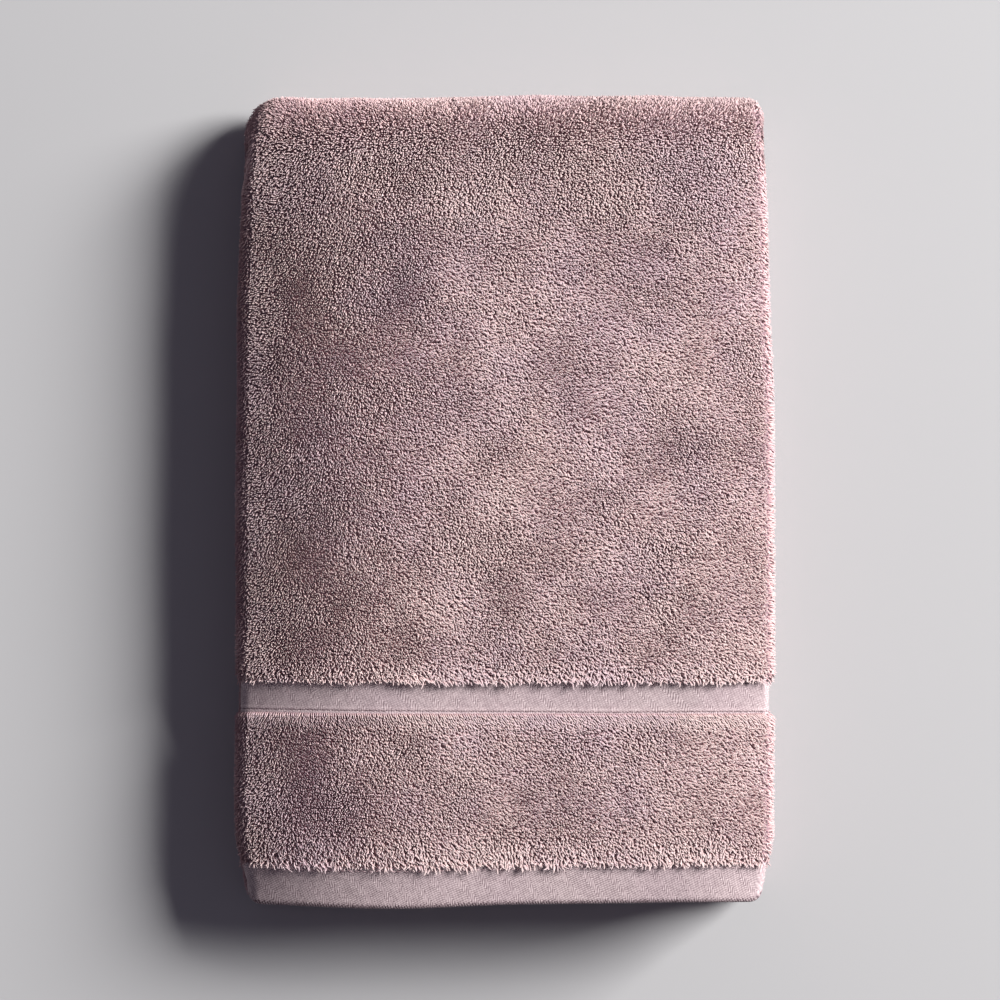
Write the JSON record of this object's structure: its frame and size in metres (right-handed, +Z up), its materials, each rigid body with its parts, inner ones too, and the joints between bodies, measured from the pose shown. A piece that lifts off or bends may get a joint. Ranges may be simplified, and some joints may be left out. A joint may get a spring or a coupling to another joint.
{
  "type": "bath towel",
  "caption": "Terry bath towel folded into a flat rectangular pack, with flat woven bands and hems at its free ends; the top half opens at the rear fold.",
  "frame": {"origin": "middle of the pack's underside, at the height of the surface that it lies on", "axes": "+Z up through the layers; +Y along the pack towards the spine, the fold made last; +X across the pack to the right as seen from the free ends"},
  "size_m": [0.2386, 0.3572, 0.0513],
  "materials": {
    "terry_cloth": "cotton terry with looped pile on both faces, dusty rose",
    "flat_weave": "flat cotton herringbone weave without pile, dusty rose",
    "sewing_thread": "spun cotton sewing thread, matched to the weave"
  },
  "bodies": {
    "lower_leaf": {"front_fold_left_flap": "terry_cloth", "front_fold_left_side_hem": "flat_weave", "front_fold_panel": "terry_cloth", "front_fold_right_flap": "terry_cloth", "front_fold_right_side_hem": "flat_weave", "lower_inner_left_flap": "terry_cloth", "lower_inner_left_side_hem": "flat_weave", "lower_inner_left_side_thread": "sewing_thread", "lower_inner_panel": "terry_cloth", "lower_inner_right_flap": "terry_cloth", "lower_inner_right_side_hem": "flat_weave", "lower_inner_right_side_thread": "sewing_thread", "lower_outer_left_flap": "terry_cloth", "lower_outer_left_side_hem": "flat_weave", "lower_outer_left_side_thread": "sewing_thread", "lower_outer_panel": "terry_cloth", "lower_outer_right_flap": "terry_cloth", "lower_outer_right_side_hem": "flat_weave", "lower_outer_right_side_thread": "sewing_thread", "spine_inner_left_flap": "terry_cloth", "spine_inner_left_side_hem": "flat_weave", "spine_inner_panel": "terry_cloth", "spine_inner_right_flap": "terry_cloth", "spine_inner_right_side_hem": "flat_weave", "spine_outer_left_flap": "terry_cloth", "spine_outer_left_side_hem": "flat_weave", "spine_outer_panel": "terry_cloth", "spine_outer_right_flap": "terry_cloth", "spine_outer_right_side_hem": "flat_weave"},
    "upper_leaf": {"upper_inner_band": "flat_weave", "upper_inner_border_left_flap": "terry_cloth", "upper_inner_border_panel": "terry_cloth", "upper_inner_border_right_flap": "terry_cloth", "upper_inner_end_hem": "flat_weave", "upper_inner_end_thread": "sewing_thread", "upper_inner_left_flap": "terry_cloth", "upper_inner_left_side_hem": "flat_weave", "upper_inner_left_side_thread": "sewing_thread", "upper_inner_panel": "terry_cloth", "upper_inner_right_flap": "terry_cloth", "upper_inner_right_side_hem": "flat_weave", "upper_inner_right_side_thread": "sewing_thread", "upper_outer_band": "flat_weave", "upper_outer_border_left_flap": "terry_cloth", "upper_outer_border_panel": "terry_cloth", "upper_outer_border_right_flap": "terry_cloth", "upper_outer_end_hem": "flat_weave", "upper_outer_end_thread": "sewing_thread", "upper_outer_left_flap": "terry_cloth", "upper_outer_left_side_hem": "flat_weave", "upper_outer_left_side_thread": "sewing_thread", "upper_outer_panel": "terry_cloth", "upper_outer_right_flap": "terry_cloth", "upper_outer_right_side_hem": "flat_weave", "upper_outer_right_side_thread": "sewing_thread"}
  },
  "joints": [
    {"name": "spine_fold", "type": "hinge", "parent": "lower_leaf", "child": "upper_leaf", "pos_m": [0, 0.15295, 0.02565], "axis": [-1, 0, 0], "range_deg": [0, 180], "deforming": ["spine_inner_left_flap", "spine_inner_left_side_hem", "spine_inner_panel", "spine_inner_right_flap", "spine_inner_right_side_hem", "spine_outer_left_flap", "spine_outer_left_side_hem", "spine_outer_panel", "spine_outer_right_flap", "spine_outer_right_side_hem"]}
  ]
}
